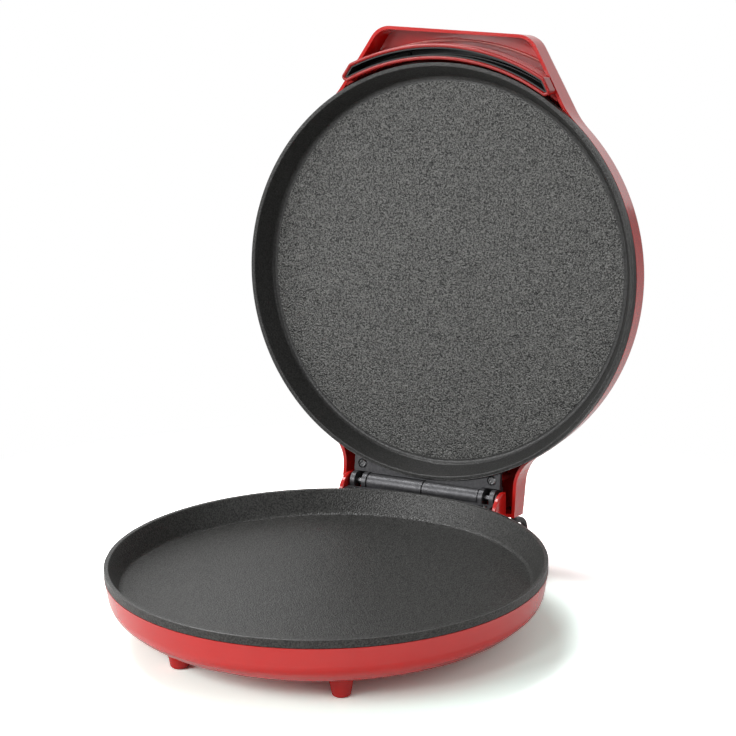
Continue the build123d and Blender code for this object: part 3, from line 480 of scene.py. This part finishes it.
def mask(tree, inner, outer):
    """0 near the object and 1 far from it, over the floor."""
    place = tree.nodes.new("ShaderNodeTexCoord")
    length = tree.nodes.new("ShaderNodeVectorMath")
    length.operation = "LENGTH"
    link(tree, place.outputs["Object"], length.inputs[0])
    node = tree.nodes.new("ShaderNodeMapRange")
    node.interpolation_type = "SMOOTHSTEP"
    node.inputs["From Min"].default_value = inner
    node.inputs["From Max"].default_value = outer
    link(tree, length.outputs["Value"], node.inputs["Value"])
    return node.outputs["Result"]


def seen_rays(tree):
    """1 for camera, glossy and transmission rays, which see the white background."""
    rays = tree.nodes.new("ShaderNodeLightPath")
    value = rays.outputs["Is Camera Ray"]
    for other in ("Is Glossy Ray", "Is Transmission Ray"):
        node = tree.nodes.new("ShaderNodeMath")
        node.operation = "MAXIMUM"
        link(tree, value, node.inputs[0])
        link(tree, rays.outputs[other], node.inputs[1])
        value = node.outputs["Value"]
    return value


def mirrored_strength(tree):
    """White where it is seen itself, and dimmer towards the right where the object mirrors it."""
    place = tree.nodes.new("ShaderNodeTexCoord")
    axes = tree.nodes.new("ShaderNodeSeparateXYZ")
    link(tree, place.outputs["Object"], axes.inputs["Vector"])
    side = tree.nodes.new("ShaderNodeMapRange")
    side.inputs["From Min"].default_value = mirrored_span[0]
    side.inputs["From Max"].default_value = mirrored_span[1]
    side.inputs["To Min"].default_value = floor_mirrored[0]
    side.inputs["To Max"].default_value = floor_mirrored[1]
    link(tree, axes.outputs["X"], side.inputs["Value"])
    rays = tree.nodes.new("ShaderNodeLightPath")
    chosen = tree.nodes.new("ShaderNodeMapRange")
    chosen.inputs["To Min"].default_value = 1.0
    link(tree, rays.outputs["Is Glossy Ray"], chosen.inputs["Value"])
    link(tree, side.outputs["Result"], chosen.inputs["To Max"])
    return chosen.outputs["Result"]


def floor():
    """Pale floor: it keeps the object's shadow, is less red and a little dimmer near the object
    to cancel the casing's red bounce light, and fades to white around it.
    """
    mesh = bpy.data.meshes.new("floor")
    signs = ((-1, -1), (1, -1), (1, 1), (-1, 1))
    corners = [(across * floor_reach, along * floor_reach, 0) for across, along in signs]
    mesh.from_pydata(corners, [], [(0, 1, 2, 3)])
    piece = bpy.data.objects.new("floor", mesh)
    bpy.context.scene.collection.objects.link(piece)
    material, tree, shader = new_material("floor_white")
    grain = noise(tree, 30.0)
    tint = ramp(tree, grain, [(0.2, (0.80, 0.80, 0.79)), (0.8, (0.82, 0.82, 0.81))])
    link(tree, tint, shader.inputs["Base Color"])
    shader.inputs["Roughness"].default_value = 0.9
    shader.inputs["Specular IOR Level"].default_value = 0.1
    near = tree.nodes.new("ShaderNodeBsdfDiffuse")
    near.inputs["Color"].default_value = (*floor_near_bounce_cancel_colour, 1.0)
    far = tree.nodes.new("ShaderNodeBsdfDiffuse")
    far.inputs["Color"].default_value = (*floor_far_colour, 1.0)
    paper = tree.nodes.new("ShaderNodeMixShader")
    link(tree, mask(tree, *near_fade), paper.inputs["Fac"])
    link(tree, near.outputs["BSDF"], paper.inputs[1])
    link(tree, far.outputs["BSDF"], paper.inputs[2])
    rays = tree.nodes.new("ShaderNodeLightPath")
    seen = tree.nodes.new("ShaderNodeMixShader")
    link(tree, rays.outputs["Is Camera Ray"], seen.inputs["Fac"])
    link(tree, shader.outputs["BSDF"], seen.inputs[1])
    link(tree, paper.outputs["Shader"], seen.inputs[2])
    white = tree.nodes.new("ShaderNodeEmission")
    link(tree, mirrored_strength(tree), white.inputs["Strength"])
    fade = tree.nodes.new("ShaderNodeMixShader")
    link(tree, mask(tree, *white_fade), fade.inputs["Fac"])
    link(tree, seen.outputs["Shader"], fade.inputs[1])
    link(tree, white.outputs["Emission"], fade.inputs[2])
    chosen = tree.nodes.new("ShaderNodeMixShader")
    link(tree, seen_rays(tree), chosen.inputs["Fac"])
    link(tree, shader.outputs["BSDF"], chosen.inputs[1])
    link(tree, fade.outputs["Shader"], chosen.inputs[2])
    link(tree, chosen.outputs["Shader"], tree.nodes["Material Output"].inputs["Surface"])
    mesh.materials.append(material)


def world():
    """White surround that lights softly, and is dim in front where the object mirrors it."""
    scene_world = bpy.data.worlds.new("studio")
    bpy.context.scene.world = scene_world
    scene_world.use_nodes = True
    tree = scene_world.node_tree
    ambient = tree.nodes["Background"]
    ambient.inputs["Color"].default_value = (1.0, 0.985, 0.965, 1.0)
    ambient.inputs["Strength"].default_value = ambient_strength
    place = tree.nodes.new("ShaderNodeTexCoord")
    side = tree.nodes.new("ShaderNodeVectorMath")
    side.operation = "DOT_PRODUCT"
    side.inputs[1].default_value = bright_side
    link(tree, place.outputs["Generated"], side.inputs[0])
    shade = tree.nodes.new("ShaderNodeMapRange")
    shade.interpolation_type = "SMOOTHSTEP"
    shade.inputs["From Min"].default_value = -bright_side_edge
    shade.inputs["From Max"].default_value = bright_side_edge
    shade.inputs["To Min"].default_value = dim_side_strength
    shade.inputs["To Max"].default_value = 1.0
    link(tree, side.outputs["Value"], shade.inputs["Value"])
    mirrored = tree.nodes.new("ShaderNodeBackground")
    link(tree, shade.outputs["Result"], mirrored.inputs["Strength"])
    white = tree.nodes.new("ShaderNodeBackground")
    white.inputs["Color"].default_value = (1.0, 1.0, 1.0, 1.0)
    rays = tree.nodes.new("ShaderNodeLightPath")
    inner = tree.nodes.new("ShaderNodeMixShader")
    link(tree, rays.outputs["Is Glossy Ray"], inner.inputs["Fac"])
    link(tree, ambient.outputs["Background"], inner.inputs[1])
    link(tree, mirrored.outputs["Background"], inner.inputs[2])
    clear = tree.nodes.new("ShaderNodeMath")
    clear.operation = "MAXIMUM"
    link(tree, rays.outputs["Is Camera Ray"], clear.inputs[0])
    link(tree, rays.outputs["Is Transmission Ray"], clear.inputs[1])
    outer = tree.nodes.new("ShaderNodeMixShader")
    link(tree, clear.outputs["Value"], outer.inputs["Fac"])
    link(tree, inner.outputs["Shader"], outer.inputs[1])
    link(tree, white.outputs["Background"], outer.inputs[2])
    link(tree, outer.outputs["Shader"], tree.nodes["World Output"].inputs["Surface"])


def area_light(name, place, target, size, power):
    """Softbox that looks at a target."""
    light = bpy.data.lights.new(name, "AREA")
    light.shape = "RECTANGLE"
    light.size, light.size_y = size
    light.energy = power
    lamp = bpy.data.objects.new(name, light)
    bpy.context.scene.collection.objects.link(lamp)
    lamp.location = place
    lamp.rotation_euler = (Vector(target) - Vector(place)).to_track_quat("-Z", "Y").to_euler()


def camera():
    """Camera at the photograph's place."""
    forward = Vector((
        -math.sin(camera_heading) * math.cos(camera_down),
        math.cos(camera_heading) * math.cos(camera_down),
        -math.sin(camera_down),
    ))
    level = forward.cross(Vector((0, 0, 1))).normalized()
    upright = level.cross(forward)
    right = level * math.cos(camera_roll) + upright * math.sin(camera_roll)
    up = upright * math.cos(camera_roll) - level * math.sin(camera_roll)
    data = bpy.data.cameras.new("camera")
    data.sensor_width = sensor_width
    data.lens = focal_pixels * sensor_width / image_pixels
    data.clip_end = 50.0
    piece = bpy.data.objects.new("camera", data)
    bpy.context.scene.collection.objects.link(piece)
    turn = Matrix((right, up, -forward)).transposed().to_4x4()
    piece.matrix_world = Matrix.Translation(camera_place) @ turn
    bpy.context.scene.camera = piece


lead()
lid_skin = pan_skin(
    "lid_pan_grain", pan_floor_radius - lid_grain_inset, lid_grain_step, lid_grain,
    lid_grain_height, lid_floor_place, "lid_grain",
)
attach(lid_skin, "lid")
skirt_bead = arc_bead(
    "skirt_bead", lid_point, skirt_bead_radius, skirt_bead_depth, skirt_bead_angle,
    skirt_bead_thickness, "bead",
)
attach(skirt_bead, "lid")
# Rim beads on both pans, whose lighter colour paints the rims' highlight line
for body, point in (("base", base_point), ("lid", lid_point)):
    edge = arc_bead(
        body + "_pan_edge", point, pan_edge_radius, pan_edge_depth, 180.0, pan_edge_thickness,
        "pan_edge",
    )
    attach(edge, body)
floor()
world()
for name, place, target, size, power in lights:
    area_light(name, place, target, size, power)
camera()
bpy.context.scene.view_settings.view_transform = "Standard"
